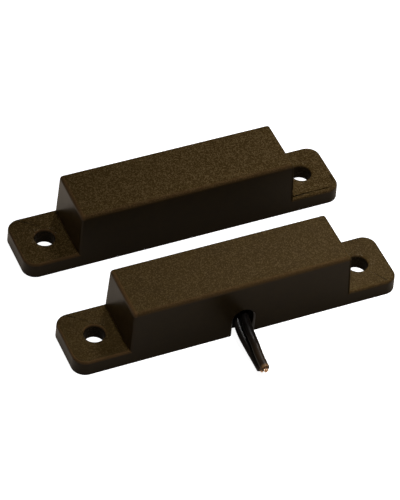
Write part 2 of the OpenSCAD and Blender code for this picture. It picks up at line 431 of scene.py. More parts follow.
@dataclass(frozen=True)
class VinylJacket(ReliefFinish):
    """Extruded vinyl with fine lines along the lead, darkened near the outlet by painted shade from the
    wall, and paler towards its cut end with a painted highlight.
    """

    # Colour at the cut end: a painted highlight where light catches it.
    end: Colour = linear(66, 51, 46)
    # Colour near the outlet: painted shade from the wall.
    outlet_shade: Colour = linear(14, 11, 10)
    outlet_shade_fade: Range = (0.66, 0.9)
    tip_highlight_from: Range = (0.972, 1.0)

    def inputs(self, graph: NodeGraph) -> dict[str, Any]:
        """Builds the jacket's nodes."""
        inputs = super().inputs(graph)
        along = graph.attribute(Lead.ALONG)
        # Painted shade near the outlet, then a painted highlight at the cut end.
        shaded_near_outlet = graph.mix_colour(graph.ramp(along, *self.outlet_shade_fade), self.outlet_shade, inputs["Base Color"])
        inputs["Base Color"] = graph.mix_colour(graph.ramp(along, *self.tip_highlight_from), shaded_near_outlet, self.end)
        return inputs


METAL = (("Metallic", 1.0),)

HOUSING_PLASTIC = MouldedPlastic("moulded_plastic")
# Glossy finish of the outlet's lip. Its pale colour is a painted highlight of the light lines along the
# jambs.
GLOSSY_LIP_PAINTED_HIGHLIGHT = MouldedPlastic(
    "glossy_lip_painted_highlight", first=linear(152, 144, 136), second=linear(140, 132, 125),
    wall_roughness=(0.09, 0.15), specular=0.9,
)
POTTING = ReliefFinish(
    "potting_epoxy", linear(17, 15, 13), linear(12, 11, 10), tone_scale=300.0, roughness=(0.29, 0.45),
    relief=Effect.MOTTLE, relief_scale=700.0, relief_depth=1.5e-5, plain=(("Specular IOR Level", 0.04),),
)
CAPSULE_GLASS = ReliefFinish(
    "capsule_glass", (0.78, 0.92, 0.82, 1.0), (0.86, 0.95, 0.88, 1.0), tone_scale=500.0,
    roughness=(0.02, 0.07), relief=Effect.DRAWN_LINES, relief_scale=900.0, relief_depth=2e-6,
    stretch=(0.05, 1.0, 1.0), plain=(("Transmission Weight", 1.0), ("IOR", 1.5)),
)
NICKEL_IRON = ReliefFinish(
    "drawn_nickel_iron", (0.62, 0.6, 0.56, 1.0), (0.48, 0.46, 0.42, 1.0), tone_scale=1100.0,
    roughness=(0.22, 0.4), relief=Effect.DRAWN_LINES, relief_scale=7000.0, relief_depth=2e-6,
    stretch=(0.03, 1.0, 1.0), plain=METAL,
)
COPPER = replace(
    NICKEL_IRON, name="bare_copper", first=(0.8, 0.56, 0.38, 1.0), second=(0.62, 0.4, 0.25, 1.0),
    roughness=(0.32, 0.5), stretch=(1.0, 0.05, 1.0),
)
SOLDER = ReliefFinish(
    "dull_solder", (0.62, 0.63, 0.64, 1.0), (0.45, 0.46, 0.47, 1.0), tone_scale=700.0,
    roughness=(0.25, 0.45), relief=Effect.SPARK_GRAIN, relief_scale=4000.0, relief_depth=8e-6,
    rough_span=(0.2, 0.8), plain=METAL,
)
MAGNET_ALLOY = replace(
    SOLDER, name="magnet_alloy", first=(0.3, 0.3, 0.31, 1.0), second=(0.2, 0.2, 0.21, 1.0),
    roughness=(0.4, 0.6), relief_scale=2600.0,
)
SLEEVE = ReliefFinish(
    "shrunk_sleeve", linear(27, 27, 28), linear(20, 20, 21), tone_scale=600.0, roughness=(0.5, 0.65),
    relief=Effect.SPARK_GRAIN, relief_scale=2500.0, relief_depth=1e-5,
)
BLACK_VINYL = VinylJacket(
    "black_vinyl", linear(22, 17, 12), linear(17, 13, 9), tone_scale=900.0, roughness=(0.27, 0.37),
    relief=Effect.DRAWN_LINES, relief_scale=6000.0, relief_depth=3e-6, stretch=(1.0, 0.04, 1.0),
    plain=(("Specular IOR Level", 0.16),),
)
# The brown jacket's pale end colour is a painted highlight too.
BROWN_VINYL = replace(
    BLACK_VINYL, name="brown_vinyl", first=linear(42, 30, 18), second=linear(36, 26, 15),
    end=linear(128, 96, 62),
)


def link_mesh(name: str, shape: Shape) -> Piece:
    """Puts a finished shape into the scene and frees it.

    Args:
        name: Name of the object and of its mesh.
        shape: The shape.

    Returns:
        The new object, at the origin.
    """
    mesh = bpy.data.meshes.new(name)
    shape.to_mesh(mesh)
    shape.free()
    made = bpy.data.objects.new(name, mesh)
    bpy.context.scene.collection.objects.link(made)
    return made


def pick(kind: type, geometry: Iterable[Any]) -> list[Any]:
    """Picks the verts, edges or faces out of what an operator gives back."""
    return [part for part in geometry if isinstance(part, kind)]


def extrude(shape: Shape, faces: Iterable[Face], by: Point) -> list[Any]:
    """Extrudes faces.

    Args:
        shape: The shape that holds them.
        faces: The faces.
        by: How far they move.

    Returns:
        The verts, edges and faces that are new.
    """
    made = bmesh.ops.extrude_face_region(shape, geom=list(faces))["geom"]
    bmesh.ops.translate(shape, vec=by, verts=pick(bmesh.types.BMVert, made))
    return made


def cut_faces(
    shape: Shape, faces: Iterable[Face], place: Point, normal: Point, **options: Any
) -> dict[str, list[Any]]:
    """Cuts faces along a plane.

    Args:
        shape: The shape that holds them.
        faces: The faces.
        place: A point of the plane.
        normal: The plane's direction.
        **options: What else the operator takes, such as the side to clear.

    Returns:
        What the operator gives back.
    """
    cut = list(faces)
    edges = {edge for face in cut for edge in face.edges}
    verts = {vert for face in cut for vert in face.verts}
    geometry = [*cut, *edges, *verts]
    return bmesh.ops.bisect_plane(shape, geom=geometry, plane_co=place, plane_no=normal, **options)


def merge_flat(shape: Shape, angle: float) -> None:
    """Merges faces that meet at less than an angle."""
    bmesh.ops.dissolve_limit(
        shape, angle_limit=angle, use_dissolve_boundaries=False, verts=shape.verts, edges=shape.edges
    )


def apply_modifiers(made: Piece) -> None:
    """Replaces an object's mesh by what its modifiers make of it."""
    graph = bpy.context.evaluated_depsgraph_get()
    finished = bpy.data.meshes.new_from_object(made.evaluated_get(graph))
    made.modifiers.clear()
    before = made.data
    made.data = finished
    bpy.data.meshes.remove(before)
    finished.name = made.name


def cut_away(made: Piece, cutters: Iterable[Shape]) -> None:
    """Cuts closed shapes out of an object.

    Args:
        made: The object to cut.
        cutters: The shapes, which are used up.
    """
    tools = [link_mesh("cutter", cutter) for cutter in cutters]
    for tool in tools:
        cut = made.modifiers.new("cut", "BOOLEAN")
        cut.operation = "DIFFERENCE"
        cut.solver = "EXACT"
        cut.object = tool
    apply_modifiers(made)
    for tool in tools:
        mesh = tool.data
        bpy.data.objects.remove(tool)
        bpy.data.meshes.remove(mesh)


def dress(piece: Piece, finish: Finish, body: Body) -> None:
    """Gives a new piece its finish and the body it rides on.

    Args:
        piece: The piece.
        finish: Its finish.
        body: The body that carries the piece.
    """
    piece.data.materials.clear()
    piece.data.materials.append(finish.material())
    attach(piece, body.value)


@dataclass
class Outlet:
    """Arched slot in the front wall that lets the leads out, open to the mounting face."""

    middle_x: float = 0.3
    width: float = 4.15
    height: float = 5.75
    facets: int = 64

    def cutter(self, front_y: float, depth: float, past: float) -> Shape:
        """Makes the shape that cuts the slot.

        Args:
            front_y: Y of the front wall at the mounting face.
            depth: How far the slot reaches behind that wall.
            past: How far the shape reaches in front of the wall and below the mounting face.

        Returns:
            The closed shape.
        """
        radius = self.width / 2
        arch_z = self.height - radius
        shape = bmesh.new()
        bmesh.ops.create_circle(
            shape, cap_ends=True, segments=self.facets, radius=radius,
            matrix=Matrix.Rotation(math.pi / 2, 4, "X"),
        )
        halved = cut_faces(shape, shape.faces, (0, 0, 0), (0, 0, 1), dist=1e-4, clear_inner=True)
        springing = pick(bmesh.types.BMEdge, halved["geom_cut"])
        legs = bmesh.ops.extrude_edge_only(shape, edges=springing)["geom"]
        bmesh.ops.translate(shape, verts=pick(bmesh.types.BMVert, legs), vec=(0, 0, -arch_z - past))
        bmesh.ops.translate(shape, verts=shape.verts, vec=(self.middle_x, front_y - past, arch_z))
        extrude(shape, shape.faces, (0, depth + past, 0))
        bmesh.ops.recalc_face_normals(shape, faces=shape.faces)
        return shape


@dataclass
class UnitHousing:
    """Casing of one unit: a hollow block between two drilled ears, in one moulding."""

    GRAIN = "grain"
    SATIN = "satin"
    # Name of the face value that says how much painted highlight a rim gets.
    RIM_HIGHLIGHT = "rim_highlight"

    node: str
    body: Body
    pattern: str
    screw: str
    outlet: Outlet | None = None
    seam: bool = False
    grain: float = 1.0
    block_length: float = 43.6
    end_draft: float = math.radians(3.3)
    side_draft: float = math.radians(1.6)
    corner_radius: float = 2.6
    wall: float = 1.4
    hollow_radius: float = 0.6
    top_edge: float = 0.85
    upright_edge: float = 0.55
    ear_edge: float = 0.55
    corner_fillet: float = 0.12
    hole_edge: float = 0.4
    outlet_edge: float = 0.4
    lip_drop: float = 1.4
    lip_reach: float = 0.42
    seam_inset: float = 0.78
    seam_end: float = -2.4
    seam_width: float = 0.26
    seam_depth: float = 0.16
    grain_tilt: Range = (0.3, 0.6)
    hole_grain: float = 0.5
    dull_tilt: Range = (0.12, 0.98)
    dull_satin: float = 0.1
    # How the painted rim highlight spreads: its strength, the way a rim must face, its tilts, and its fade
    # towards the right end.
    rim_highlight_strength: float = 0.7
    rim_highlight_way: Point = (-0.45, -0.89, 0.0)
    rim_highlight_turn: float = 0.25
    rim_highlight_tilt: Range = (0.35, 0.95)
    rim_highlight_least: float = 0.25
    rim_highlight_middle: float = 0.5
    rim_highlight_run: float = 30.0
    lip_tilt: Range = (-0.97, -0.1)
    least_turn: float = math.radians(30)
    near: float = 0.1
    past: float = 1.0
    corner_steps: int = 16
    hole_facets: int = 64
    edge_steps: int = 5

    def __post_init__(self) -> None:
        """Reads the sizes that the frame gives."""
        low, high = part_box(self.node)
        self.length, self.width, self.height = (high - low) / MM
        self.middle_y = (low.y + high.y) / 2 / MM
        holes = mount(self.pattern)["dims"]
        self.ear = mount(self.screw)["dims"]["length_mm"]
        self.hole_radius = holes["hole_r_mm"]
        self.hole_x = holes["spacing_x_mm"] / 2

    def half_length(self, z: float) -> float:
        """Half the block's length at a height."""
        return self.block_length / 2 - (z - self.ear) * math.tan(self.end_draft)

    def half_width(self, z: float) -> float:
        """Half the unit's width at a height."""
        return self.width / 2 - z * math.tan(self.side_draft)

    def from_hole(self, place: Vector) -> float:
        """How far a place lies from the wall of the nearer screw hole."""
        return math.hypot(abs(place.x) - self.hole_x, place.y) - self.hole_radius

    @staticmethod
    def rounded_plate(
        shape: Shape, half_x: float, half_y: float, z: float, radius: float, steps: int
    ) -> Face:
        """Starts a shape from a flat plate with round corners.

        Args:
            shape: The empty shape.
            half_x: Half the plate's length.
            half_y: Half its width.
            z: Its height.
            radius: Radius of its corners.
            steps: Facets of each corner.

        Returns:
            The plate's face.
        """
        corners = bmesh.ops.create_grid(shape, x_segments=1, y_segments=1, size=1.0)["verts"]
        bmesh.ops.scale(shape, vec=(half_x, half_y, 1), verts=corners)
        bmesh.ops.translate(shape, vec=(0, 0, z), verts=corners)
        bmesh.ops.bevel(
            shape, geom=corners, offset=radius, offset_type="OFFSET", segments=steps,
            profile=0.5, affect="VERTICES", material=-1,
        )
        return next(iter(shape.faces))

    @staticmethod
    def raise_face(shape: Shape, face: Face, rise: float, share_x: float, share_y: float) -> Face:
        """Extrudes a face upwards and draws it in.

        Args:
            shape: The shape that holds the face.
            face: The face.
            rise: How far it goes up.
            share_x: What is left of its length.
            share_y: What is left of its width.

        Returns:
            The raised face.
        """
        made = extrude(shape, [face], (0, 0, rise))
        bmesh.ops.scale(shape, vec=(share_x, share_y, 1), verts=pick(bmesh.types.BMVert, made))
        return pick(Face, made)[0]

    def outer_shape(self) -> Shape:
        """Makes the moulding's outside: the plate with the ears, and the block on it."""
        shape = bmesh.new()
        half_x, half_y = self.length / 2, self.width / 2
        plate = self.rounded_plate(shape, half_x, half_y, 0, self.corner_radius, self.corner_steps)
        draw_in = half_y - self.half_width(self.ear)
        top = self.raise_face(shape, plate, self.ear, 1 - draw_in / half_x, 1 - draw_in / half_y)
        split = [top]
        for side in (-1, 1):
            parts = cut_faces(shape, split, (side * self.half_length(self.ear), 0, 0), (1, 0, 0))
            split = pick(Face, parts["geom"])
        middle = min(split, key=lambda face: abs(face.calc_center_median().x))
        self.raise_face(
            shape, middle, self.height - self.ear,
            self.half_length(self.height) / self.half_length(self.ear),
            self.half_width(self.height) / self.half_width(self.ear),
        )
        bmesh.ops.delete(shape, geom=[middle], context="FACES_ONLY")
        bmesh.ops.recalc_face_normals(shape, faces=shape.faces)
        merge_flat(shape, math.radians(0.1))
        return shape

    def hollow(self) -> Shape:
        """Makes the shape of the hollow inside the block, open at the mounting face."""
        shape = bmesh.new()
        roof = self.height - self.wall
        low_x, low_y = self.half_length(-self.past) - self.wall, self.half_width(-self.past) - self.wall
        steps = self.corner_steps // 2
        floor = self.rounded_plate(shape, low_x, low_y, -self.past, self.hollow_radius, steps)
        self.raise_face(
            shape, floor, roof + self.past,
            (self.half_length(roof) - self.wall) / low_x, (self.half_width(roof) - self.wall) / low_y,
        )
        bmesh.ops.recalc_face_normals(shape, faces=shape.faces)
        return shape

    def screw_holes(self) -> Shape:
        """Makes the shape of both screw holes."""
        shape = bmesh.new()
        for side in (-1, 1):
            bmesh.ops.create_cone(
                shape, cap_ends=True, segments=self.hole_facets,
                radius1=self.hole_radius, radius2=self.hole_radius, depth=self.ear + 2 * self.past,
                matrix=Matrix.Translation((side * self.hole_x, 0, self.ear / 2)),
            )
        return shape

    def ear_seam(self) -> Shape:
        """Makes the shape of the fine groove that a mould insert left along one ear's front rim."""
        shape = bmesh.new()
        plate = self.rounded_plate(
            shape, self.length / 2 - self.seam_inset, self.half_width(self.ear) - self.seam_inset,
            self.ear - self.seam_depth, self.corner_radius - self.seam_inset, self.corner_steps,
        )
        bmesh.ops.inset_region(
            shape, faces=[plate], thickness=self.seam_width, use_even_offset=True, use_boundary=True,
        )
        bmesh.ops.delete(shape, geom=[plate], context="FACES")
        cut_faces(shape, shape.faces, (self.half_length(self.ear), 0, 0), (1, 0, 0), clear_inner=True)
        cut_faces(shape, shape.faces, (0, self.seam_end, 0), (0, 1, 0), clear_outer=True)
        extrude(shape, shape.faces, (0, 0, self.past))
        bmesh.ops.recalc_face_normals(shape, faces=shape.faces)
        return shape

    def kind_of(self, face: Face) -> FaceKind:
        """Says where a face of the cut moulding lies.

        Args:
            face: The face, in the unit's own frame.

        Returns:
            Its kind.
        """
        middle, normal = face.calc_center_median(), face.normal
        upright = abs(normal.z) < ASKEW
        if normal.z > SQUARE:
            return FaceKind.TOP if middle.z > self.ear + self.past else FaceKind.EAR
        if normal.z < -SQUARE and middle.z < self.past:
            return FaceKind.UNDERSIDE
        if upright and 0 < self.ear - middle.z < self.seam_depth:
            return FaceKind.SEAM
        if upright and self.from_hole(middle) < self.near:
            return FaceKind.HOLE
        depth = self.half_width(middle.z) - abs(middle.y)
        from_end = self.half_length(middle.z) - abs(middle.x)
        if abs(normal.x) > SQUARE and abs(from_end) < self.near:
            return FaceKind.END
        in_wall = self.near < depth < self.wall and from_end > self.wall + self.near
        if self.outlet is not None and in_wall and abs(normal.y) < ASKEW:
            return FaceKind.OUTLET
        if min(from_end, depth) > self.wall - self.near:
            return FaceKind.INSIDE
        return FaceKind.SIDE

    def rounding(self, edge: bmesh.types.BMEdge) -> float:
        """Says how far an edge of the cut moulding is rounded.

        Args:
            edge: The edge, in the unit's own frame.

        Returns:
            The radius in millimetres, 0 where the edge stays sharp.
        """
        if len(edge.link_faces) != 2 or edge.calc_face_angle() < self.least_turn:
            return 0.0
        kinds = {self.kind_of(face) for face in edge.link_faces}
        rounded = (
            (self.top_edge, FaceKind.TOP, FaceKind.SIDE),
            (self.top_edge, FaceKind.TOP, FaceKind.END),
            (self.upright_edge, FaceKind.SIDE, FaceKind.END),
            (self.ear_edge, FaceKind.EAR, FaceKind.SIDE),
            (self.corner_fillet, FaceKind.EAR, FaceKind.END),
            (self.hole_edge, FaceKind.EAR, FaceKind.HOLE),
            (self.outlet_edge, FaceKind.SIDE, FaceKind.OUTLET),
        )
        return next((radius for radius, *pair in rounded if set(pair) == kinds), 0.0)

    def round_edges(self, made: Piece) -> None:
        """Rounds the moulding's outer edges, each by its own radius."""
        widest = max(self.top_edge, self.upright_edge, self.ear_edge, self.outlet_edge)
        shape = bmesh.new()
        shape.from_mesh(made.data)
        merge_flat(shape, math.radians(0.05))
        shape.normal_update()
        weight = shape.edges.layers.float.new("bevel_weight_edge")
        for edge in shape.edges:
            edge[weight] = self.rounding(edge) / widest
        shape.to_mesh(made.data)
        shape.free()
        bevel = made.modifiers.new("edges", "BEVEL")
        bevel.limit_method = "WEIGHT"
        bevel.width = widest
        bevel.segments = self.edge_steps
        bevel.profile = 0.5
        bevel.use_clamp_overlap = False
        apply_modifiers(made)

    def mark_faces(self, mesh: bpy.types.Mesh) -> None:
        """Stores on each face how much grain and satin it has, and how much painted highlight its rounded
        rim gets.
        """
        names = (self.GRAIN, self.SATIN, self.RIM_HIGHLIGHT)
        for name in names:
            mesh.attributes.new(name, "FLOAT", "FACE")
        grain, satin, rim_highlight = (mesh.attributes[name].data for name in names)
        for index, face in enumerate(mesh.polygons):
            middle, normal = face.center, face.normal
            level = share(normal.z, *self.grain_tilt)
            rim = self.hole_grain if self.from_hole(middle) < self.hole_edge else 0.0
            grain[index].value = self.grain * max(level, rim)
            dull = self.dull_tilt[0] < normal.x < self.dull_tilt[1] and middle.z > self.ear + 2 * self.near
            satin[index].value = (1.0 - level) * (self.dull_satin if dull else 1.0)
            # Rounded rims facing front and left get a painted highlight, stronger towards the left end.
            towards = share(normal.dot(Vector(self.rim_highlight_way)), 0.0, self.rim_highlight_turn)
            slope = share(normal.z, 0.0, self.rim_highlight_tilt[0]) * share(normal.z, 1.0, self.rim_highlight_tilt[1])
            aside = min(1.0, max(self.rim_highlight_least, self.rim_highlight_middle - middle.x / self.rim_highlight_run))
            rim_highlight[index].value = self.rim_highlight_strength * towards * slope * aside

    def on_lip(self, face: bpy.types.MeshPolygon) -> bool:
        """Says whether a face of the rounded moulding lies on the outlet's lip.

        Args:
            face: The face, in the unit's own frame.

        Returns:
            True on the lip.
        """
        if self.outlet is None or not self.lip_tilt[0] < face.normal.y < self.lip_tilt[1]:
            return False
        x, y, z = face.center
        depth = y + self.half_width(z)
        aside = abs(x - self.outlet.middle_x) - self.outlet.width / 2
        above = z - self.outlet.height
        return max(depth, aside, above + self.lip_drop) < self.lip_reach

    def build(self) -> Piece:
        """Makes the housing, dresses it and hides its solid.

        Returns:
            The housing.
        """
        made = link_mesh(self.node + "_moulding", self.outer_shape())
        cutters = [self.hollow(), self.screw_holes()]
        if self.outlet is not None:
            depth = self.wall + self.width / 2 - self.half_width(self.outlet.height)
            cutters.append(self.outlet.cutter(-self.width / 2, depth, self.past))
        if self.seam:
            cutters.append(self.ear_seam())
        cut_away(made, cutters)
        self.round_edges(made)
        self.mark_faces(made.data)
        lip = [face.index for face in made.data.polygons if self.on_lip(face)]
        made.data.transform(Matrix.Scale(MM, 4) @ Matrix.Translation((0, self.middle_y, 0)))
        made.data.shade_smooth()
        made.data.set_sharp_from_angle(angle=math.radians(35))
        made.modifiers.new("normals", "WEIGHTED_NORMAL").keep_sharp = True
        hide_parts(self.node)
        dress(made, HOUSING_PLASTIC, self.body)
        # The lip faces take the glossy finish with the painted highlight colour.
        if lip:
            made.data.materials.append(GLOSSY_LIP_PAINTED_HIGHLIGHT.material())
            for index in lip:
                made.data.polygons[index].material_index = 1
        return made


def smooth_path(points: Sequence[Vector], steps: int) -> list[Vector]:
    """Draws a smooth curve through points.

    Args:
        points: The points that it passes through.
        steps: Pieces between two points.

    Returns:
        Points along the curve.
    """
    ends = [2 * points[0] - points[1], *points, 2 * points[-1] - points[-2]]
    curve = []
    for before, start, end, after in zip(ends, ends[1:], ends[2:], ends[3:]):
        for step in range(steps):
            t = step / steps
            curve.append(0.5 * (
                2 * start + (end - before) * t
                + (2 * before - 5 * start + 4 * end - after) * t ** 2
                + (3 * start - before - 3 * end + after) * t ** 3
            ))
    return [*curve, points[-1].copy()]


def path_frames(path: Sequence[Vector]) -> list[Matrix]:
    """Gives each point of a path a frame whose Z runs along it, without twist.

    Args:
        path: Points along the path.

    Returns:
        A placing matrix for each point.
    """
    frames = []
    sideways = Vector((0, 0, 1))
    for index, point in enumerate(path):
        along = (path[min(index + 1, len(path) - 1)] - path[max(index - 1, 0)]).normalized()
        sideways = (sideways - sideways.dot(along) * along).normalized()
        across = along.cross(sideways)
        turn = Matrix((sideways, across, along)).transposed()
        frames.append(Matrix.Translation(point) @ turn.to_4x4())
    return frames


def path_length(path: Sequence[Vector]) -> float:
    """Length of a path."""
    return sum((end - start).length for start, end in zip(path, path[1:]))


@dataclass(frozen=True)
class Ring:
    """One ring of a tube: its place, its radius and how far along the lead it lies."""

    place: Matrix
    radius: float
    along: float


@dataclass
class Lead:
    """One lead: a jacket that runs from its joint out of the outlet, and its copper strands."""

    ALONG = "along"

    colour: str
    route: Sequence[Point]
    joint_x: float
    finish: VinylJacket
    slot: Slot
    splay: float
    mouth: tuple[float, float] = (0.3, -6.35)
    exit_z: float = 3.5
    joint_y: float = 1.05
    joint_z: float = 5.3
    diameter: float = 1.6
    bore: float = 0.64
    cut_edge: float = 0.06
    strand_radius: float = 0.1
    strands_round: int = 6
    lay_length: float = 9.0
    lay_room: float = 1.2
    splay_curve: float = 1.5
    jacket_sides: int = 32
    strand_sides: int = 8
    bare_length: float = 1.6
    setback: float = 0.12
    steps: int = 8

    def placed(self) -> list[Vector]:
        """Route in the part's frame, in millimetres, from the jacket's inner end to the bare tip."""
        return [Vector((x + self.mouth[0], y + self.mouth[1], z)) for x, y, z in self.route]

    @staticmethod
    def add_tube(shape: Shape, rings: Sequence[Ring], sides: int) -> None:
        """Bends a grid into a tube. Rings of no radius close it, and equal first and last rings join.

        Args:
            shape: The shape to add to, which carries the layer for how far along a point lies.
            rings: The tube's rings.
            sides: Corners of a ring.
        """
        along = shape.verts.layers.float[Lead.ALONG]
        last = len(rings) - 1
        grid = bmesh.ops.create_grid(shape, x_segments=last, y_segments=sides, size=0.5)["verts"]
        for vert in grid:
            ring = rings[round((vert.co.x + 0.5) * last)]
            angle = math.tau * (vert.co.y + 0.5)
            vert[along] = ring.along
            vert.co = ring.place @ (ring.radius * Vector((math.cos(angle), math.sin(angle), 0)))
        bmesh.ops.remove_doubles(shape, verts=grid, dist=1e-5)

    def finish_shape(self, shape: Shape, name: str) -> Piece:
        """Turns a shape in millimetres into a smooth piece in metres.

        Args:
            shape: The shape, which is used up.
            name: What the piece is.

        Returns:
            The piece.
        """
        bmesh.ops.recalc_face_normals(shape, faces=shape.faces)
        bmesh.ops.scale(shape, vec=(MM, MM, MM), verts=shape.verts)
        made = link_mesh(f"{self.colour}_{name}", shape)
        made.data.shade_smooth()
        made.data.set_sharp_from_angle(angle=math.radians(50))
        return made

    def jacket(self) -> tuple[Piece, list[Vector]]:
        """Makes the jacket with its bore and softly cut ends.

        Returns:
            The jacket, and the path in metres that it follows.
        """
        path = smooth_path(self.placed()[:-1], self.steps)
        frames = path_frames(path)
        outer, inner, edge = self.diameter / 2, self.bore / 2, self.cut_edge
        slip = Matrix.Translation((0, 0, edge))
        last = len(frames) - 1
        rings = [Ring(frames[0], inner, 0), Ring(frames[0], outer - edge, 0)]
        rings += [Ring(frames[0] @ slip, outer, 0)]
        rings += [Ring(frames[index], outer, index / last) for index in range(1, last)]
        rings += [Ring(frames[-1] @ slip.inverted(), outer, 1), Ring(frames[-1], outer - edge, 1)]
        rings += [Ring(place, inner, 1) for place in reversed(frames)]
        shape = bmesh.new()
        shape.verts.layers.float.new(self.ALONG)
        self.add_tube(shape, rings, self.jacket_sides)
        return self.finish_shape(shape, "jacket"), [point * MM for point in path]

    def strands(self) -> Piece:
        """Makes the twisted strands, which spread at the bare tip."""
        start = Vector((self.joint_x, self.joint_y, self.joint_z))
        path = smooth_path([start, *self.placed()], self.steps)
        path[-1] += (path[-2] - path[-1]).normalized() * self.setback
        runs = [path_length(path[: index + 1]) for index in range(len(path))]
        lay = self.bore / 2 - self.lay_room * self.strand_radius
        shape = bmesh.new()
        shape.verts.layers.float.new(self.ALONG)
        for strand in range(self.strands_round + 1):
            line = []
            for place, run in zip(path_frames(path), runs):
                bare = max(0.0, 1 - (runs[-1] - run) / self.bare_length)
                reach = (lay + self.splay * bare ** self.splay_curve) * (strand < self.strands_round)
                angle = math.tau * (run / self.lay_length + strand / self.strands_round)
                line.append(place @ (reach * Vector((math.cos(angle), math.sin(angle), 0))))
            places = path_frames(line)
            rings = [Ring(place, self.strand_radius, run / runs[-1]) for place, run in zip(places, runs)]
            rings = [Ring(places[0], 0, 0), *rings, Ring(places[-1], 0, 1)]
            self.add_tube(shape, rings, self.strand_sides)
        return self.finish_shape(shape, "strands")

    def build(self) -> list[Piece]:
        """Makes the lead, dresses it and hides its solids.

        Returns:
            The jacket and the strands.
        """
        jacket, path = self.jacket()
        strands = self.strands()
        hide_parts(self.colour + "_lead_jacket")
        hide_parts(self.colour + "_lead_core")
        dress(jacket, self.finish, Body.SWITCH)
        dress(strands, COPPER, Body.SWITCH)
        return [jacket, strands]


@dataclass(frozen=True)
class InnerPieces:
    """Pieces cast into the units: they keep their solids and get their finishes."""

    finishes: dict[Finish, Sequence[str]] = field(default_factory=lambda: {
        POTTING: ("switch_potting", "magnet_potting"),
        CAPSULE_GLASS: ("reed_glass",),
        NICKEL_IRON: ("left_reed_lead", "right_reed_lead", "left_reed_blade", "right_reed_blade"),
        SOLDER: ("left_solder_joint", "right_solder_joint"),
        SLEEVE: ("left_joint_sleeve", "right_joint_sleeve"),
        MAGNET_ALLOY: ("bar_magnet",),
    })

    def build(self) -> list[Piece]:
        """Dresses the solids and returns them."""
        dressed = []
        for finish, nodes in self.finishes.items():
            for piece in (frame["nodes"][node] for node in nodes):
                piece.data.materials.clear()
                piece.data.materials.append(finish.material())
                dressed.append(piece)
        return dressed


@dataclass(frozen=True)
class SoftLamp:
    """A round area lamp: where it hangs, where it points, and how bright it makes white there."""

    name: str
    place: Point
    aim: Point
    size: float
    level: float
    spread: float

    def build(self) -> Piece:
        """Hangs the lamp.

        Returns:
            The lamp.
        """
        down = Vector(self.aim) - Vector(self.place)
        half = self.spread / 2
        gain = math.tan(half) / (math.tan(half) - half)
        light = bpy.data.lights.new(self.name, "AREA")
        light.shape = "DISK"
        light.size = self.size
        light.spread = self.spread
        light.energy = self.level * math.pi ** 2 * down.length_squared / abs(down.normalized().z) / gain
        made = bpy.data.objects.new(self.name, light)
        turn = down.to_track_quat("-Z", "Y").to_matrix().to_4x4()
        made.matrix_world = Matrix.Translation(self.place) @ turn
        made.visible_camera = False
        bpy.context.scene.collection.objects.link(made)
        return made


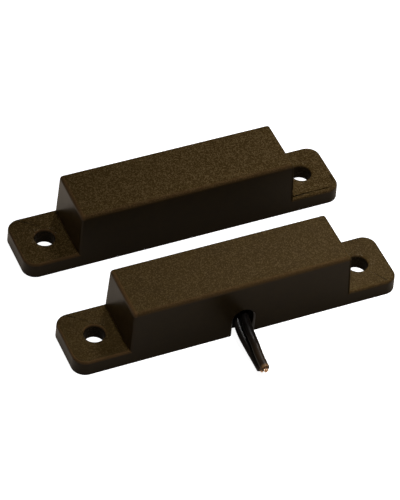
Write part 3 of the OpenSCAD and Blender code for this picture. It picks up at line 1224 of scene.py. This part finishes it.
@dataclass
class Studio:
    """Pale floor, three soft lamps and a plain surround."""

    floor_half: float = 3.0
    floor_drop: float = 2e-5
    glow: float = 0.95
    lit: float = 0.8
    bounce: float = 0.03
    ambient: float = 0.062
    pale: Colour = (0.83, 0.72, 0.6, 1.0)
    dim: Colour = (0.25, 0.21, 0.17, 1.0)
    # Least glow of the floor in mirrors, where painted shade darkens it most near the objects, and how far
    # and how steeply that shade reaches.
    foot_shade: float = 0.1
    foot_reach: float = 0.018
    foot_power: float = 2.3
    sweep: Range = (0.25, 0.65)
    lamps: tuple[SoftLamp, ...] = (
        SoftLamp(
            "key_lamp", (0.35, 0.465, 0.55), aim=(0.18, -0.5, 0.0), size=0.16, level=0.76,
            spread=math.radians(61),
        ),
        SoftLamp(
            "top_lamp", (0.03, -0.04, 0.6), aim=(0.03, -0.04, 0.0), size=0.03, level=0.87,
            spread=math.radians(21),
        ),
        SoftLamp(
            "leaf_lamp", (0.02, 0.115, 0.6), aim=(0.02, 0.115, 0.0), size=0.03, level=1.3,
            spread=math.radians(16),
        ),
    )

    def floor(self) -> Piece:
        """Makes the floor, which glows white to the eye, keeps the shadow and is open from below. In
        mirrors it glows warm, darkened near the objects by painted shade.
        """
        shape = bmesh.new()
        bmesh.ops.create_grid(shape, x_segments=1, y_segments=1, size=self.floor_half)
        bmesh.ops.translate(shape, verts=shape.verts, vec=(0, 0, -self.floor_drop))
        made = link_mesh("floor", shape)
        material = bpy.data.materials.new("pale_floor")
        material.use_nodes = True
        graph = NodeGraph(material.node_tree)
        path = graph.add("ShaderNodeLightPath").outputs
        white = graph.add("ShaderNodeEmission", {"Color": grey(self.glow), "Strength": 1.0})
        shaded = graph.add("ShaderNodeBsdfDiffuse", {"Color": grey(self.lit)})
        shown = graph.add("ShaderNodeAddShader", {0: white.outputs[0], 1: shaded.outputs[0]})
        soft = graph.add("ShaderNodeBsdfDiffuse", {"Color": grey(self.bounce)})
        # In mirrors the floor's glow is darkened by occlusion near the objects: painted shade.
        open_sky = graph.add("ShaderNodeAmbientOcclusion", {"Distance": self.foot_reach}).outputs["AO"]
        mirrored_glow_with_painted_shade = graph.mix_value(graph.math("POWER", open_sky, self.foot_power), self.foot_shade, 1.0)
        pale = graph.add("ShaderNodeEmission", {"Color": self.pale, "Strength": mirrored_glow_with_painted_shade})
        eye = graph.math("MAXIMUM", path["Is Camera Ray"], path["Is Transmission Ray"])
        surface = graph.add("ShaderNodeMixShader", {0: eye, 1: soft.outputs[0], 2: shown.outputs[0]})
        surface = graph.add(
            "ShaderNodeMixShader", {0: path["Is Glossy Ray"], 1: surface.outputs[0], 2: pale.outputs[0]}
        )
        below = graph.add("ShaderNodeNewGeometry").outputs["Backfacing"]
        opened = graph.add(
            "ShaderNodeMixShader",
            {0: below, 1: surface.outputs[0], 2: graph.add("ShaderNodeBsdfTransparent").outputs[0]},
        )
        graph.add("ShaderNodeOutputMaterial", {"Surface": opened.outputs[0]})
        made.data.materials.append(material)
        return made

    def surround(self) -> None:
        """Sets the world: white to the eye, a warm white in mirrors, and a little even light."""
        world = bpy.data.worlds.new("surround")
        world.use_nodes = True
        graph = NodeGraph(world.node_tree)
        path = graph.add("ShaderNodeLightPath").outputs
        eye = graph.math("MAXIMUM", path["Is Camera Ray"], path["Is Transmission Ray"])
        seen = graph.mix_colour(eye, grey(self.ambient), grey(1.0))
        ways = graph.add("ShaderNodeSeparateXYZ", {0: graph.add("ShaderNodeTexCoord").outputs["Generated"]})
        sweep = graph.mix_colour(graph.ramp(ways.outputs["Z"], *self.sweep), self.pale, self.dim)
        tint = graph.mix_colour(path["Is Glossy Ray"], seen, sweep)
        shown = graph.add("ShaderNodeBackground", {"Color": tint, "Strength": 1.0})
        graph.add("ShaderNodeOutputWorld", {"Surface": shown.outputs[0]})
        bpy.context.scene.world = world

    def build(self) -> None:
        """Sets up the floor, the surround, the lamps and plain colour handling."""
        self.floor()
        self.surround()
        for lamp in self.lamps:
            lamp.build()
        bpy.context.scene.view_settings.view_transform = "Standard"


@dataclass
class PhotoCamera:
    """Camera at the photograph's angle: it looks at a point and is moved sideways in its own plane."""

    azimuth: float = math.radians(-26.783)
    elevation: float = math.radians(45.8)
    roll: float = math.radians(5.388)
    distance: float = 475.285
    right_by: float = -4.945
    up_by: float = 10.876
    sensor: float = 36.0
    lens: float = 186.721

    def build(self) -> Piece:
        """Makes the camera and gives it to the scene.

        Returns:
            The camera.
        """
        flat = math.cos(self.elevation)
        back = Vector((
            math.sin(self.azimuth) * flat, -math.cos(self.azimuth) * flat, math.sin(self.elevation)
        ))
        level = Vector((math.cos(self.azimuth), math.sin(self.azimuth), 0))
        upright = back.cross(level)
        right = math.cos(self.roll) * level + math.sin(self.roll) * upright
        up = math.cos(self.roll) * upright - math.sin(self.roll) * level
        place = (back * self.distance + right * self.right_by + up * self.up_by) * MM
        data = bpy.data.cameras.new("photo_camera")
        data.sensor_width = self.sensor
        data.lens = self.lens
        data.clip_start, data.clip_end = 0.01, 20.0
        camera = bpy.data.objects.new("photo_camera", data)
        turn = Matrix((right, up, back)).transposed().to_4x4()
        camera.matrix_world = Matrix.Translation(place) @ turn
        bpy.context.scene.collection.objects.link(camera)
        bpy.context.scene.camera = camera
        return camera


# How far to each side the leads' cores reach, in millimetres
JOINT_X = 18.8

# Routes of the leads in millimetres, measured from the middle of the outlet's mouth at the mounting face
BLACK_ROUTE = (
    (-15.8, 7.4, 5.3), (-13.3, 7.5, 5.1), (-10.9, 7.8, 4.4), (-8.4, 8.2, 3.85), (-5.9, 7.9, 3.7),
    (-3.9, 6.6, 3.75), (-2.14, 4.62, 3.8), (-1.15, 2.5, 3.63), (-1.04, 0.73, 3.25), (-1.13, -0.8, 2.58),
    (-1.12, -2.42, 2.08), (-0.98, -4.11, 1.65), (-0.85, -5.9, 1.33), (-0.72, -7.7, 1.05),
    (-0.65, -9.7, 0.87), (-0.64, -10.35, 0.85),
)
BROWN_ROUTE = (
    (15.2, 7.4, 5.3), (12.7, 7.5, 5.1), (10.3, 7.8, 4.4), (7.8, 8.2, 3.85), (5.3, 7.9, 3.6),
    (3.5, 6.6, 3.5), (2, 4.32, 3.72), (0.78, 1.81, 4.12), (0.07, -0.35, 4.21), (-0.21, -2.46, 4.02),
    (-0.29, -4.18, 3.65), (-0.31, -5.75, 3.26), (-0.51, -7.5, 3.1), (-0.62, -9.3, 2.88),
    (-0.66, -11.35, 2.66), (-0.68, -11.95, 2.6),
)


def main() -> None:
    """Builds the camera, the leads, the housings, the inner pieces and the studio."""
    logging.basicConfig(level=logging.INFO, format="%(name)s: %(message)s")
    PhotoCamera().build()
    leads = (
        Lead("black", BLACK_ROUTE, -JOINT_X, BLACK_VINYL, Slot.BLACK_JACKET, splay=0.05),
        Lead("brown", BROWN_ROUTE, JOINT_X, BROWN_VINYL, Slot.BROWN_JACKET, splay=0.16),
    )
    housings = (
        UnitHousing(
            "switch_housing", Body.SWITCH, "switch_screw_holes", "switch_left_screw", Outlet(), grain=0.55
        ),
        UnitHousing(
            "magnet_housing", Body.MAGNET_UNIT, "magnet_screw_holes", "magnet_left_screw", seam=True
        ),
    )
    for lead in leads:
        for piece in lead.build():
            LOG.info("%s has %d faces", piece.name, len(piece.data.polygons))
    for housing in housings:
        piece = housing.build()
        LOG.info("%s has %d faces", piece.name, len(piece.data.polygons))
    for piece in InnerPieces().build():
        LOG.info("%s keeps its solid", piece.name)
    Studio().build()


if __name__ == "__main__":
    main()
